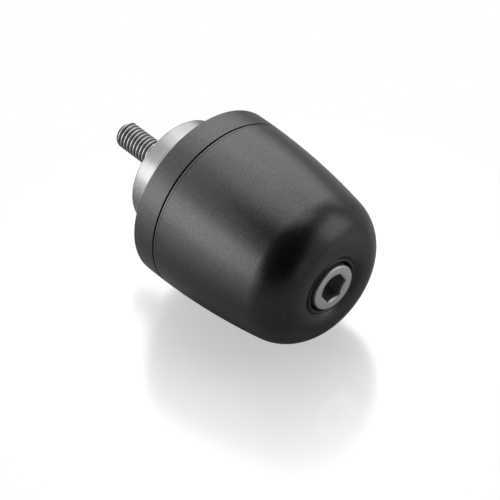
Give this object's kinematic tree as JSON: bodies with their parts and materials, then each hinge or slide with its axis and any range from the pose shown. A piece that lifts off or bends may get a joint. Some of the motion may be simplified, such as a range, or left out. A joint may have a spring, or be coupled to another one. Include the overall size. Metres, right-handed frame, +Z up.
{
  "type": "handlebar end weight",
  "caption": "Motorbike handlebar end weight: crowned round-nosed weight, collar ring and turned spacer, clamped to the end of the bar by one long socket screw.",
  "frame": {"origin": "centre of the spacer's rear face, which seats on the end of the handlebar", "axes": "+X along the turning axis from the handlebar out to the nose; +Z up"},
  "size_m": [0.0661, 0.0402, 0.0402],
  "materials": {
    "black_anodised": "bead-blasted satin black anodising",
    "black_collar": "bead-blasted satin black anodising",
    "turned_metal": "bright turned, with fine lathe lines",
    "stainless": "satin, with a rolled thread"
  },
  "bodies": {
    "root": {"weight": "black_anodised", "collar": "black_collar", "spacer": "turned_metal", "screw": "stainless"}
  },
  "joints": []
}
